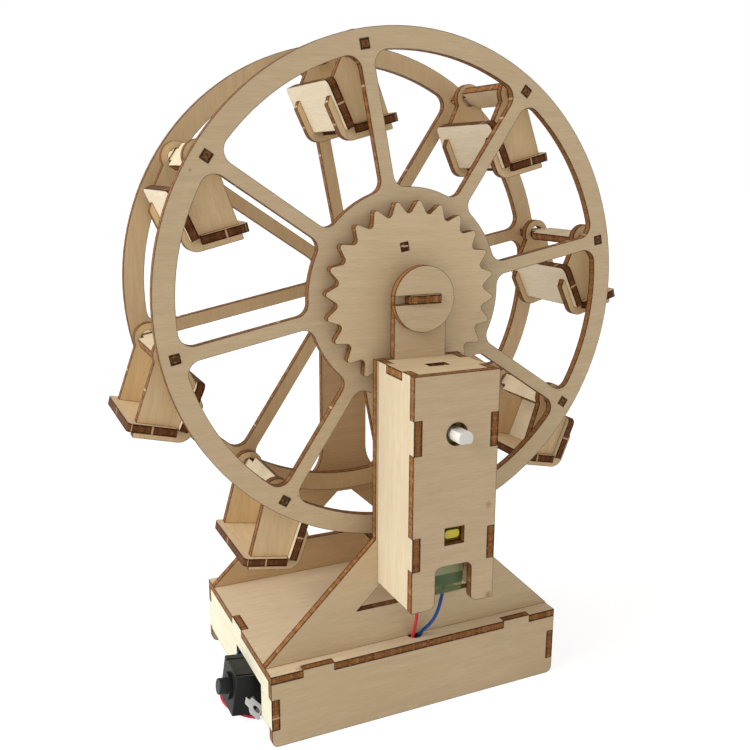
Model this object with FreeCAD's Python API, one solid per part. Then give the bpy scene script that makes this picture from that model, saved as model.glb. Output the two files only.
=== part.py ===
# A motorised ferris wheel kit cut from thin plywood.
# A low box carries two upright supports. A fixed flat bar between them is the axle of a double wheel
# with eight hanging cabins. A geared motor in a small tower turns the wheel through a pinion and a gear.
# Units are millimetres. X runs along the front of the box, +Y to the rear, +Z up.
# The origin is the middle of the surface that the box stands on.
import FreeCAD, Part
import math
import os

V = FreeCAD.Vector

# The sheet, and what all sheet pieces share
ply = 3.0                    # thickness of the plywood
tab = 12.0                   # length of a finger tab
sheet_corner = 2.5           # rounding of free corners of a sheet
small_round = 0.5            # rounding of the small free corners of a cabin
loose = 0.05                 # play on each side where a bar or peg is pushed through a sheet
running = 0.08               # radial play where something turns

# Box
box_length = 120.0
box_height = 28.0
side_lift = 6.0              # the end panels stop this far above the ground
front_tab_from_end = 18.0    # middle of a top tab of the front panel, from its end
end_tab_middle = 12.7        # height of the middle of the end panels' own tabs
wire_hole_radius = 2.8
wire_hole_x = -0.6
wire_hole_behind = 2.8       # from the front panel's inner face to the middle of the wire hole

# Supports
support_inset = 6.0          # the supports stand this far inside the box's front and rear faces
neck_half = 10.2
column_half = 17.0           # the front support is this wide behind the tower, on each side
foot_edge = 0.4              # height of the vertical ends of the foot
slope_top = 69.5             # height where the slopes meet the column
rear_fillet = 15.0
window_low = 42.7
window_high = 62.5
window_low_half = 24.7
window_high_half = 3.3
foot_tab_x = 30.0            # middle of the tabs that stand in the box's top

# Axle
bar_width = 12.0
bar_thick = 3.0
bar_out = 1.0                # the bar's ends show this far past the retaining discs
disc_slot_past = 0.3         # the slot in a retaining disc ends this far past the bar
retainer_radius = 11.7
spacer_radius = 8.6

# Wheels
wheel_radius = 91.0
rim_width = 7.5
hub_radius = 38.0            # of the front wheel
rear_hub_radius = 16.0
spoke_width = 5.0
spokes = 8
hub_fillet = 4.5
rim_fillet = 5.0
wheel_over = 54.2            # over the outer faces of the two wheels
front_room = 7.8             # from the front support to the front wheel
rear_room = 4.0              # from the rear wheel to the rear support
wheel_turned = -11.25        # where the first spoke stands, in degrees clockwise from the top
bar_from_edge = 5.0          # the cross bars lie this far inside the wheel's edge

# Cross bars
cross_end = 3.3              # width of the ends that stand in the rims
cross_seat = 5.0             # width where a cabin hangs
cross_middle = 9.4           # width between a cabin's sides
cross_gap = 0.3              # from a cabin's side to the wide middle of its bar
seat_margin = 0.3            # the seat shows this far outside the cabin's side
cross_hole = 3.4
radial_bars = (2, 4, 5, 6)  # the bars whose width points at the wheel's middle

# Cabins, measured from the middle of the ring they hang by: u to the back, w up
cabin_gap = 5.2              # from a wheel's inner face to the cabin's side
seat_over_front = 2.1        # the back and floor sheets reach this far past the front side
seat_over_rear = 1.2         # and past the rear side's outermost place
ring_radius = 5.6
floor_drop = 24.4            # from the ring's middle down to the floor
floor_front = 9.5            # the floor reaches this far in front of the ring's middle
floor_back = 7.2
floor_corner = 2.0
side_front_high = 4.5        # front edge of the side where it leaves the ring
side_front = 6.6             # and at the floor
side_back_high = 5.4         # back edge of the side where it leaves the ring
side_back_below = 0.8        # it meets the back sheet this far below the sheet's upper end
foot_drop = 29.6
foot_corner = 5.0
cabin_clear = 13.6           # from a cabin's foot to the box's top, at the lowest
back_low_u = 7.8             # inner face of the back sheet at its lower end
back_low_drop = 25.0
back_high_u = 10.9
back_high_drop = 7.4
hook_width = 2.4
hook_top_drop = 13.2
hook_chamfer = 2.2
# How far each cabin has swung at rest, in degrees, and which way it faces, going clockwise
cabin_swing = (15.5, 14.7, 15.7, 12.1, 10.5, 9.9, 13.9, 14.0)
cabin_faces_left = (False, False, False, True, True, True, True, False)
# How far each cabin's rear side stands inside its outermost place, in the same order
cabin_rear_in = (4.7, 2.9, 1.5, 1.8, 1.8, 0.0, 1.5, 1.7)

# Gears
gear_module = 2.625
gear_teeth = 24
pinion_teeth = 8
# Tooth shapes, in modules: tip above the pitch circle, root below it, lower end of the flank below it,
# half thickness there, upper end of the flank above it, half thickness there
gear_shape = (0.724, 0.876, 0.533, 0.99, 0.381, 0.438)
pinion_shape = (0.648, 0.914, 0.610, 0.724, 0.343, 0.381)
gear_gap = 1.7               # from the drive gear to the front wheel
peg_side = 3.0
peg_circle = 17.8
pinion_face = 6.4            # width of the pinion's teeth
pinion_clear = 1.0           # from the pinion to the front wheel
pinion_hub_radius = 4.5
pinion_hub_length = 8.3
pinion_hub_play = 1.0
pinion_hub_bite = 1.0        # the hub reaches this far into the toothed part

# Tower
tower_width = 32.4
tower_depth = 27.2           # from the front support to the tower's front face
tower_height = 83.3
tower_above_shaft = 20.9
tower_step = 0.2             # the front support's shoulders stand this far above the tower
tower_tab_low = 41.1         # from the upper to the lower tabs of the tower's sides
top_slot_length = 7.7
top_slot_width = 4.2
top_slot_behind = 14.5       # from the tower's front face to the middle of the slot in its top
shaft_hole_radius = 4.0
latch_window_width = 7.6
latch_window_height = 6.2
arch_half = 7.2
arch_height = 15.2
arch_flare = 2.5             # rounding where the arch meets the front's lower edge

# Geared motor
gearbox_width = 22.5
gearbox_thick = 18.8
gearbox_round = 11.7         # from the shaft to the gearbox's round end
gearbox_low = 25.3           # from the shaft down to the gearbox's flat end
gearbox_wall = 1.6
gearbox_corner = 1.0
gearbox_top_flat = 0.8       # the round end has this much flat in its middle
bearing_wall = 1.5           # wall of the shaft's sleeve inside the front shell
bearing_length = 3.0
latch_drop = 36.3            # from the shaft down to the middle of the latch bump
latch_width = 5.6
latch_height = 3.0
latch_corner = 1.2
latch_bump = 1.4
tongue_width = 9.0
tongue_reach = 5.0           # the tongue goes on past the bump's middle
screw_drop = 20.3
screw_apart = 17.6
screw_hole_radius = 1.5
screw_radius = 1.4
screw_head_radius = 2.5
screw_head = 1.2
recess_length = 3.0          # cross recess in a screw's head
recess_width = 0.5
recess_deep = 0.6
shaft_radius = 2.7
shaft_flats = 3.7
shaft_out = 9.0              # the shaft stands this far out of each side of the gearbox
final_gear_module = 0.7
final_gear_teeth = 24
final_gear_face = 4.0
can_radius = 10.0
can_flats = 15.0
can_length = 27.4
cap_length = 4.3
cap_inset = 0.4
strap_width = 12.0
strap_thick = 0.8
terminal_x = 6.4             # the motor's two terminals, on each side of its middle
terminal_behind = 3.8        # and behind its middle
terminal_width = 2.4
terminal_length = 2.6
metal = 0.5                  # thickness of the sheet-metal tabs
solder = 0.2                 # from a tab to the end of its wire

# Switch in the left end of the box
switch_front = -23.2
switch_back = -6.7
switch_low = 2.7
switch_top = 18.4
switch_out = 7.0             # the body stands this far out of the box
switch_in = 3.0              # and reaches this far inside
groove_width = 0.8
groove_deep = 0.8
groove_places = (-22.0, -9.8)
collar_radius = 5.0
collar_out = 1.3
button_radius = 3.0
button_y = -15.7
button_z = 11.0
button_out = 4.4             # the button stands this far out of the switch's face
button_inside = 4.0
button_travel = 1.5
switch_lean = 8.5            # the switch hangs askew: its lower edge stands out, in degrees
switch_edge = 0.5            # rounding of the switch's upright edges
button_edge = 0.4
spring_radius = 1.9
spring_wall = 0.5
spring_closed = 1.0          # length of the spring when the button is pressed
notch_front = -30.0          # opening in the end panel for the switch and its wires
notch_back = 0.6
tab_top_out = 2.5            # upper end of the bent tab on the switch's front, outside the box
tab_top_z = 9.8
tab_end_in = 1.3             # and its lower end, inside the box's left face
tab_end_z = 1.3
wire_beside_tab = 1.7        # from the middle of the tab's lower end to the end of its wire
tab_width = 3.4
tab_hole_radius = 0.9
tab_hole_length = 1.5
tab_hole_place = 0.42        # middle of the tab's hole, as a share of the way down
tab_narrow = 0.3             # the lower end narrows over this share of the tab
tab_narrow_end = 0.4         # to this share of its width
tab_corners = (0.4, 0.6, 0.3)  # rounding of the tab, from the top down
rear_tab_out = 1.6
rear_tab_low = 11.0
rear_tab_high = 17.8

# Battery holder under the box's top
holder_length = 58.0
holder_width = 32.0
holder_height = 15.0
holder_wall = 1.4
holder_middle_x = 14.0
cell_radius = 7.1
cell_length = 49.2
cell_nub_radius = 2.7
cell_nub = 1.3
contact_inset = 2.0          # a contact plate is narrower than its bay by this, on each side
contact_top = 3.5            # from the middle of the holder up to the top of a contact plate
bridge_height = 2.0

# Wires
wire = 1.3
bend_share = 0.45            # of a straight run that the bend at each of its ends may take

tiny = 1e-6

# Places worked out from the sizes above
bar_circle = wheel_radius - bar_from_edge
axle_height = box_height + cabin_clear + foot_drop + bar_circle
wheel_middle = (front_room - rear_room) / 2
support_span = wheel_over + front_room + rear_room + 2 * ply
box_depth = support_span + 2 * support_inset
cabin_over = wheel_over - 2 * (ply + cabin_gap)
seat_length = cabin_over + seat_over_front + seat_over_rear
half_length = box_length / 2
half_depth = box_depth / 2
top_under = box_height - ply
support_front_y = -support_span / 2
support_rear_y = support_span / 2 - ply
wheel_front_y = wheel_middle - wheel_over / 2
wheel_rear_y = wheel_middle + wheel_over / 2 - ply
axle_hole_radius = math.hypot(bar_width, bar_thick) / 2 + running
rim_inner = wheel_radius - rim_width
gear_y = wheel_front_y - gear_gap - ply
shaft_z = axle_height - gear_module * (gear_teeth + pinion_teeth) / 2
tower_front_y = support_front_y - tower_depth
tower_half = tower_width / 2
tower_top_z = shaft_z + tower_above_shaft
tower_low_z = tower_top_z - tower_height
gearbox_y = tower_front_y + ply
motor_y = gearbox_y + gearbox_thick / 2
gearbox_end_z = shaft_z - gearbox_low
can_end_z = gearbox_end_z - can_length
cap_end_z = can_end_z - cap_length
pinion_y = wheel_front_y - pinion_clear - pinion_face
step = 360.0 / spokes
ring_hole = math.hypot(cross_seat, ply) / 2 + running
rear_tab_x = -half_length - rear_tab_out
cabin_front_y = wheel_middle - cabin_over / 2
cabin_rear_y = wheel_middle + cabin_over / 2 - ply


# Helpers
def on_plane(plane, a, b, depth=0.0):
    if plane == "xz":
        return V(a, depth, b)
    if plane == "yz":
        return V(depth, a, b)
    return V(a, b, depth)


def normal_of(plane):
    return {"xz": V(0, 1, 0), "yz": V(1, 0, 0), "xy": V(0, 0, 1)}[plane]


def line(a, b):
    return Part.LineSegment(a, b).toShape()


def arc(a, b, c):
    return Part.Arc(a, b, c).toShape()


def prism(edges, direction):
    return Part.Face(Part.Wire(edges)).extrude(direction)


def rounded(points):
    # edges round a closed outline of (point, radius), straight between arcs
    count = len(points)
    marks = []
    for index in range(count):
        corner, radius = points[index]
        if radius <= 0:
            marks.append((corner, None, corner))
            continue
        back = (points[index - 1][0] - corner).normalize()
        ahead = (points[(index + 1) % count][0] - corner).normalize()
        half = back.getAngle(ahead) / 2
        middle = (back + ahead).normalize()
        reach = radius / math.tan(half)
        top = corner + middle * (radius / math.sin(half) - radius)
        marks.append((corner + back * reach, top, corner + ahead * reach))
    edges = []
    for index in range(count):
        start, top, end = marks[index]
        following = marks[(index + 1) % count][0]
        if top is not None:
            edges.append(arc(start, top, end))
        if (following - end).Length > tiny:
            edges.append(line(end, following))
    return edges


def sheet(plane, corners, at, thick=None):
    # a flat piece: corners are (a, b) or (a, b, radius) in the plane, at is its near face
    points = [(on_plane(plane, c[0], c[1], at), c[2] if len(c) > 2 else 0.0) for c in corners]
    return prism(rounded(points), normal_of(plane) * (ply if thick is None else thick))


def block(x0, x1, y0, y1, z0, z1):
    return Part.makeBox(x1 - x0, y1 - y0, z1 - z0, V(x0, y0, z0))


def pin(x, z, radius, y0, y1):
    return Part.makeCylinder(radius, y1 - y0, V(x, y0, z), V(0, 1, 0))


def fused(shape, others):
    return shape.fuse(others).removeSplitter() if others else shape


def mirror_x(corners):
    return [(-c[0],) + tuple(c[1:]) for c in corners]


def at_angle(radius, degrees):
    # a point on a circle about the axle, clockwise from the top, seen from the front
    turn = math.radians(degrees)
    return V(radius * math.sin(turn), 0, axle_height + radius * math.cos(turn))


def save(name, shape):
    if isinstance(shape, list):
        shape = Part.makeCompound(shape)
    shape.exportStep("parts/" + name + ".step")
    print(name, len(shape.Solids), "solids", round(shape.Volume, 1), "valid", shape.isValid())


# Box panels
def long_panel(y):
    low = sheet_corner
    corners = [(-half_length, 0, low), (half_length, 0, low)]
    corners += [(half_length, top_under), (-half_length, top_under)]
    panel = sheet("xz", corners, y)
    tabs = []
    slots = []
    for side in (-1, 1):
        x = side * (half_length - front_tab_from_end)
        tabs.append(block(x - tab / 2, x + tab / 2, y, y + ply, top_under, box_height))
        edge = side * (half_length - ply / 2)
        low_z = end_tab_middle - tab / 2
        slots.append(block(edge - ply / 2, edge + ply / 2, y, y + ply, low_z, low_z + tab))
    return fused(panel, tabs).cut(slots)


def end_panel(x, notched):
    inner = half_depth - ply
    low_z = end_tab_middle - tab / 2
    panel = block(x, x + ply, -inner, inner, side_lift, top_under)
    tabs = [block(x, x + ply, -tab / 2, tab / 2, top_under, box_height)]
    tabs.append(block(x, x + ply, -half_depth, half_depth, low_z, low_z + tab))
    panel = fused(panel, tabs)
    if notched:
        top = switch_top + loose
        panel = panel.cut(block(x, x + ply, notch_front, notch_back, side_lift, top))
    return panel


def box_top():
    panel = block(-half_length, half_length, -half_depth, half_depth, top_under, box_height)
    cuts = []
    for side in (-1, 1):
        x = side * (half_length - front_tab_from_end)
        for y in (-half_depth, half_depth - ply):
            cuts.append(block(x - tab / 2, x + tab / 2, y, y + ply, top_under, box_height))
        end = side * (half_length - ply / 2)
        cuts.append(block(end - ply / 2, end + ply / 2, -tab / 2, tab / 2, top_under, box_height))
        for y in (support_front_y, support_rear_y):
            x = side * foot_tab_x
            cuts.append(block(x - tab / 2, x + tab / 2, y, y + ply, top_under, box_height))
    hole_y = -half_depth + ply + wire_hole_behind
    cuts.append(Part.makeCylinder(wire_hole_radius, ply, V(wire_hole_x, hole_y, top_under)))
    return panel.cut(cuts)


# Supports
def support_cuts(y):
    window = [(-window_low_half, window_low), (window_low_half, window_low)]
    window += [(window_high_half, window_high), (-window_high_half, window_high)]
    half_w = bar_width / 2 + loose
    half_t = bar_thick / 2 + loose
    cuts = [sheet("xz", window, y)]
    cuts.append(block(-half_w, half_w, y, y + ply, axle_height - half_t, axle_height + half_t))
    return cuts


def foot_tabs(y):
    tabs = []
    for side in (-1, 1):
        x = side * foot_tab_x
        tabs.append(block(x - tab / 2, x + tab / 2, y, y + ply, top_under, box_height))
    return tabs


def slope_height(x):
    # height of the foot's slope at a distance x from the middle
    rise = (slope_top - box_height - foot_edge) / (half_length - column_half)
    return box_height + foot_edge + (half_length - x) * rise


def support_front():
    y = support_front_y
    shoulder = tower_top_z + tower_step
    right = [(half_length, box_height), (half_length, box_height + foot_edge)]
    right += [(column_half, slope_top), (column_half, shoulder), (neck_half, shoulder)]
    left = mirror_x(right)[::-1]
    outline = right + [(neck_half, axle_height), (-neck_half, axle_height)] + left
    plate = sheet("xz", outline, y)
    plate = fused(plate, foot_tabs(y) + [pin(0, axle_height, neck_half, y, y + ply)])
    cuts = support_cuts(y)
    cuts.append(pin(0, shaft_z, pinion_hub_radius + pinion_hub_play, y, y + ply))
    for side in (-1, 1):
        x = side * (tower_half - ply / 2)
        for z in (shaft_z, shaft_z - tower_tab_low):
            cuts.append(block(x - ply / 2, x + ply / 2, y, y + ply, z - tab / 2, z + tab / 2))
    return plate.cut(cuts)


def support_rear():
    y = support_rear_y
    right = [(half_length, box_height), (half_length, box_height + foot_edge)]
    right += [(neck_half, slope_height(neck_half), rear_fillet)]
    left = mirror_x(right)[::-1]
    outline = right + [(neck_half, axle_height), (-neck_half, axle_height)] + left
    plate = sheet("xz", outline, y)
    plate = fused(plate, foot_tabs(y) + [pin(0, axle_height, neck_half, y, y + ply)])
    return plate.cut(support_cuts(y))


# Tower
def tower_tab_heights():
    return (shaft_z - tab / 2, shaft_z - tower_tab_low - tab / 2)


def tower_front():
    y = tower_front_y
    low = tower_low_z
    arch_top = low + arch_height
    right = [(arch_half, arch_top, sheet_corner), (arch_half, low, arch_flare)]
    right += [(tower_half, low), (tower_half, tower_top_z)]
    left = mirror_x(right)[::-1]
    panel = sheet("xz", right + left, y)
    cuts = [pin(0, shaft_z, shaft_hole_radius, y, y + ply)]
    half_w = latch_window_width / 2
    half_h = latch_window_height / 2
    z = shaft_z - latch_drop
    cuts.append(block(-half_w, half_w, y, y + ply, z - half_h, z + half_h))
    for side in (-1, 1):
        x = side * (tower_half - ply / 2)
        for z in tower_tab_heights():
            cuts.append(block(x - ply / 2, x + ply / 2, y, y + ply, z, z + tab))
    return panel.cut(cuts)


def tower_side(side):
    x = side * (tower_half - ply / 2)
    x0 = x - ply / 2
    x1 = x + ply / 2
    panel = block(x0, x1, tower_front_y + ply, support_front_y, tower_low_z, tower_top_z)
    tabs = []
    for z in tower_tab_heights():
        tabs.append(block(x0, x1, tower_front_y, support_front_y + ply, z, z + tab))
    middle = (tower_front_y + ply + support_front_y) / 2
    notch = block(x0, x1, middle - tab / 2, middle + tab / 2, tower_top_z - ply, tower_top_z)
    return fused(panel, tabs).cut(notch)


def tower_top():
    inner = tower_half - ply
    z0 = tower_top_z - ply
    middle = (tower_front_y + ply + support_front_y) / 2
    panel = block(-inner, inner, tower_front_y + ply, support_front_y, z0, tower_top_z)
    tabs = [block(-tower_half, tower_half, middle - tab / 2, middle + tab / 2, z0, tower_top_z)]
    y = tower_front_y + top_slot_behind
    half_w = top_slot_width / 2
    half_l = top_slot_length / 2
    slot = block(-half_l, half_l, y - half_w, y + half_w, z0, tower_top_z)
    return fused(panel, tabs).cut(slot)


# Axle
def axle_bar():
    reach = support_span / 2 + ply + bar_out
    half_w = bar_width / 2
    half_t = bar_thick / 2
    return block(-half_w, half_w, -reach, reach, axle_height - half_t, axle_height + half_t)


def axle_retainers():
    discs = []
    half_t = bar_thick / 2 + 2 * loose
    for y in (support_front_y - ply, support_span / 2):
        disc = pin(0, axle_height, retainer_radius, y, y + ply)
        closed = bar_width / 2 + disc_slot_past
        slot = block(-retainer_radius, closed, y, y + ply, axle_height - half_t, axle_height + half_t)
        discs.append(disc.cut(slot))
    return discs


def wheel_spacers():
    rings = []
    for y in (support_front_y + ply, support_rear_y - (rear_room + ply) / 2):
        ring = pin(0, axle_height, spacer_radius, y, y + ply)
        rings.append(ring.cut(pin(0, axle_height, axle_hole_radius, y, y + ply)))
    return rings


# Wheels
def along(direction, distance, offset):
    # a point beside a spoke: distance from the axle along it, offset to its clockwise side
    turn = math.radians(direction)
    x = distance * math.sin(turn) + offset * math.cos(turn)
    z = distance * math.cos(turn) - offset * math.sin(turn)
    return V(x, 0, axle_height + z)


def corner_of_window(direction, side, circle, fillet, outward):
    # the rounded corner between a spoke's edge and the hub or rim: its ends and its middle
    centre_radius = circle - fillet if outward else circle + fillet
    offset = spoke_width / 2 + fillet
    distance = math.sqrt(centre_radius ** 2 - offset ** 2)
    on_spoke = along(direction, distance, side * spoke_width / 2)
    centre = along(direction, distance, side * offset)
    from_axle = (centre - V(0, 0, axle_height)).normalize()
    on_circle = V(0, 0, axle_height) + from_axle * circle
    inward = ((on_spoke - centre) + (on_circle - centre)).normalize()
    return on_spoke, centre + inward * fillet, on_circle


def wheel_window(first, hub, y):
    second = first + step
    middle = first + step / 2
    a = corner_of_window(first, 1, rim_inner, rim_fillet, True)
    b = corner_of_window(second, -1, rim_inner, rim_fillet, True)
    c = corner_of_window(second, -1, hub, hub_fillet, False)
    d = corner_of_window(first, 1, hub, hub_fillet, False)
    edges = [arc(*a), arc(a[2], at_angle(rim_inner, middle), b[2]), arc(b[2], b[1], b[0])]
    edges += [line(b[0], c[0]), arc(*c), arc(c[2], at_angle(hub, middle), d[2])]
    edges += [arc(d[2], d[1], d[0]), line(d[0], a[0])]
    window = prism(edges, V(0, ply, 0))
    window.translate(V(0, y, 0))
    return window


def square_hole(direction, distance, side, y, length):
    half = side / 2
    middle = axle_height + distance
    hole = block(-half, half, y, y + length, middle - half, middle + half)
    hole.rotate(V(0, 0, axle_height), V(0, 1, 0), direction)
    return hole


def peg_holes(y, side, length):
    return [square_hole(wheel_turned + turn, peg_circle, side, y, length) for turn in (0, 180)]


def wheel(y, hub, pegged):
    disc = pin(0, axle_height, wheel_radius, y, y + ply)
    cuts = [pin(0, axle_height, axle_hole_radius, y, y + ply)]
    for index in range(spokes):
        direction = wheel_turned + index * step
        cuts.append(wheel_window(direction, hub, y))
        cuts.append(square_hole(direction, bar_circle, cross_hole, y, ply))
    if pegged:
        cuts += peg_holes(y, peg_side + 2 * loose, ply)
    return disc.cut(cuts)


def crossbar(index):
    direction = wheel_turned + index * step
    turned = direction + (90 if index in radial_bars else 0)
    half_t = ply / 2
    seat_front = (cabin_front_y - seat_margin, cabin_front_y + ply + cross_gap)
    seat_rear = (cabin_rear_y - max(cabin_rear_in) - cross_gap, cabin_rear_y + ply + seat_margin)
    spans = [(wheel_front_y, wheel_front_y + wheel_over, cross_end)]
    spans += [(seat_front[0], seat_rear[1], cross_seat)]
    spans += [(seat_front[1], seat_rear[0], cross_middle)]
    bars = [block(-w / 2, w / 2, y0, y1, -half_t, half_t) for y0, y1, w in spans]
    bar = fused(bars[0], bars[1:])
    bar.rotate(V(0, 0, 0), V(0, 1, 0), turned)
    bar.translate(at_angle(bar_circle, direction))
    return bar


# Gears
def toothed(teeth, module, shape, first, centre, y, face):
    # straight-flanked teeth with round tips and valleys, the first tooth at an angle from the top
    tip_up, root_down, low_down, low_half, high_up, high_half = shape
    pitch = module * teeth / 2
    tip = pitch + tip_up * module
    root = pitch - root_down * module
    low = pitch - low_down * module
    high = pitch + high_up * module
    low_turn = low_half * module / low
    high_turn = high_half * module / high
    pitch_turn = 2 * math.pi / teeth

    def spot(radius, turn):
        turn += math.radians(first)
        return centre + V(radius * math.sin(turn), y, radius * math.cos(turn))

    edges = []
    for index in range(teeth):
        middle = index * pitch_turn
        valley = middle + pitch_turn / 2
        following = middle + pitch_turn - low_turn
        edges.append(line(spot(low, middle - low_turn), spot(high, middle - high_turn)))
        edges.append(arc(spot(high, middle - high_turn), spot(tip, middle), spot(high, middle + high_turn)))
        edges.append(line(spot(high, middle + high_turn), spot(low, middle + low_turn)))
        edges.append(arc(spot(low, middle + low_turn), spot(root, valley), spot(low, following)))
    return prism(edges, V(0, face, 0))


def drive_gear():
    gear = toothed(gear_teeth, gear_module, gear_shape, wheel_turned, V(0, 0, axle_height), gear_y, ply)
    cuts = [pin(0, axle_height, axle_hole_radius, gear_y, gear_y + ply)]
    return gear.cut(cuts + peg_holes(gear_y, peg_side + 2 * loose, ply))


def gear_pegs():
    return peg_holes(gear_y, peg_side, wheel_front_y + ply - gear_y)


def double_d(y0, y1, grow=0.0):
    round_bar = pin(0, shaft_z, shaft_radius + grow, y0, y1)
    half = shaft_flats / 2 + grow
    wide = 2 * shaft_radius
    return round_bar.common(block(-wide, wide, y0, y1, shaft_z - half, shaft_z + half))


def pinion():
    tooth_turn = 360.0 / pinion_teeth
    first = wheel_turned * -gear_teeth / pinion_teeth + tooth_turn / 2
    while first > tooth_turn:
        first -= tooth_turn
    centre = V(0, 0, shaft_z)
    teeth = toothed(pinion_teeth, gear_module, pinion_shape, first, centre, pinion_y, pinion_face)
    hub_y = pinion_y - pinion_hub_length
    hub = pin(0, shaft_z, pinion_hub_radius, hub_y, pinion_y + pinion_hub_bite)
    shaft_end = motor_y + gearbox_thick / 2 + shaft_out
    return fused(teeth, [hub]).cut(double_d(hub_y, shaft_end))


def output_shaft():
    y0 = gearbox_y - shaft_out
    y1 = gearbox_y + gearbox_thick + shaft_out
    gear_at = motor_y + gearbox_wall
    centre = V(0, 0, shaft_z)
    gear = toothed(final_gear_teeth, final_gear_module, gear_shape, 0.0, centre, gear_at, final_gear_face)
    return fused(double_d(y0, y1), [gear])


# Geared motor
def gearbox_outline(inset):
    half = gearbox_width / 2 - inset
    top = shaft_z + gearbox_round - inset
    low = gearbox_end_z + inset
    round_corner = half - gearbox_top_flat / 2
    corner = gearbox_corner
    return [(-half, low, corner), (half, low, corner), (half, top, round_corner), (-half, top, round_corner)]


def screw_places():
    z = shaft_z - screw_drop
    return [(-screw_apart / 2, z), (screw_apart / 2, z)]


def tongue(y_face, outward):
    low = shaft_z - latch_drop - tongue_reach
    depth = (gearbox_thick - can_flats) / 2 - strap_thick
    y0, y1 = sorted((y_face, y_face - outward * depth))
    half = tongue_width / 2
    strip = block(-half, half, y0, y1, low, gearbox_end_z)
    half = latch_width / 2
    z = shaft_z - latch_drop
    places = [(-half, z - latch_height / 2), (half, z - latch_height / 2)]
    places += [(half, z + latch_height / 2), (-half, z + latch_height / 2)]
    y0 = min(y_face, y_face + outward * latch_bump)
    bump = sheet("xz", [(x, z, latch_corner) for x, z in places], y0, latch_bump)
    return [strip, bump]


def gearbox_shell(front):
    y0 = gearbox_y if front else motor_y
    y1 = motor_y if front else gearbox_y + gearbox_thick
    outward = -1 if front else 1
    face = y0 if front else y1
    shell = sheet("xz", gearbox_outline(0.0), y0, y1 - y0)
    shell = fused(shell, tongue(face, outward))
    hollow_y = y0 + gearbox_wall if front else y0
    hollow = sheet("xz", gearbox_outline(gearbox_wall), hollow_y, y1 - y0 - gearbox_wall)
    posts = [pin(x, z, screw_head_radius, y0, y1) for x, z in screw_places()]
    keep = posts
    if front:
        sleeve = shaft_radius + bearing_wall
        keep = posts + [pin(0, shaft_z, sleeve, hollow_y, hollow_y + bearing_length)]
    shell = shell.cut(hollow.cut(keep))
    cuts = [pin(0, shaft_z, shaft_radius + running, y0, y1)]
    cuts += [pin(x, z, screw_hole_radius, y0, y1) for x, z in screw_places()]
    if not front:
        cuts += [pin(x, z, screw_head_radius + loose, y1 - screw_head, y1) for x, z in screw_places()]
    return shell.cut(cuts)


def gearbox_screws():
    screws = []
    y0 = gearbox_y + gearbox_wall
    y1 = gearbox_y + gearbox_thick
    for x, z in screw_places():
        screw = pin(x, z, screw_radius, y0, y1)
        head = pin(x, z, screw_head_radius, y1 - screw_head, y1)
        long = recess_length / 2
        thin = recess_width / 2
        recess = [block(x - long, x + long, y1 - recess_deep, y1, z - thin, z + thin)]
        recess.append(block(x - thin, x + thin, y1 - recess_deep, y1, z - long, z + long))
        screws.append(fused(screw, [head]).cut(recess))
    return screws


def flatted(radius, flats, z0, z1):
    can = Part.makeCylinder(radius, z1 - z0, V(0, motor_y, z0))
    half = flats / 2
    return can.common(block(-radius, radius, motor_y - half, motor_y + half, z0, z1))


def motor_can():
    return flatted(can_radius, can_flats, can_end_z, gearbox_end_z)


def motor_end_cap():
    return flatted(can_radius - cap_inset, can_flats - 2 * cap_inset, cap_end_z, can_end_z)


def motor_strap():
    half = strap_width / 2
    inner = can_flats / 2
    outer = inner + strap_thick
    low = cap_end_z - strap_thick
    band = block(-half, half, motor_y - outer, motor_y + outer, low, gearbox_end_z)
    return band.cut(block(-half, half, motor_y - inner, motor_y + inner, cap_end_z, gearbox_end_z))


# Switch
def leaned(shape):
    shape.rotate(V(-half_length, 0, switch_top), V(0, 1, 0), switch_lean)
    return shape


def along_x(y, z, radius, x0, x1):
    return Part.makeCylinder(radius, x1 - x0, V(x0, y, z), V(1, 0, 0))


def switch_housing():
    face = -half_length - switch_out
    inner = -half_length + ply + switch_in
    body = block(face, inner, switch_front, switch_back, switch_low, switch_top)
    upright = [e for e in body.Edges if e.BoundBox.ZLength > tiny]
    body = body.makeFillet(switch_edge, upright)
    body = fused(body, [along_x(button_y, button_z, collar_radius, face - collar_out, face)])
    cuts = []
    half = groove_width / 2
    for y in groove_places:
        cuts.append(block(face, inner, y - half, y + half, switch_top - groove_deep, switch_top))
    room = button_inside + button_travel + spring_closed
    cuts.append(along_x(button_y, button_z, button_radius + running, face - collar_out, face + room))
    return leaned(body.cut(cuts))


def switch_button():
    face = -half_length - switch_out
    end = face - button_out
    button = along_x(button_y, button_z, button_radius, end, face + button_inside)
    rim = [e for e in button.Edges if e.BoundBox.XMax < end + tiny]
    return leaned(button.makeFillet(button_edge, rim))


def switch_spring():
    # the return spring, closed up as it is when the button is pressed
    face = -half_length - switch_out
    x0 = face + button_inside + button_travel
    x1 = x0 + spring_closed
    outer = along_x(button_y, button_z, spring_radius, x0, x1)
    return leaned(outer.cut(along_x(button_y, button_z, spring_radius - spring_wall, x0, x1)))


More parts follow.
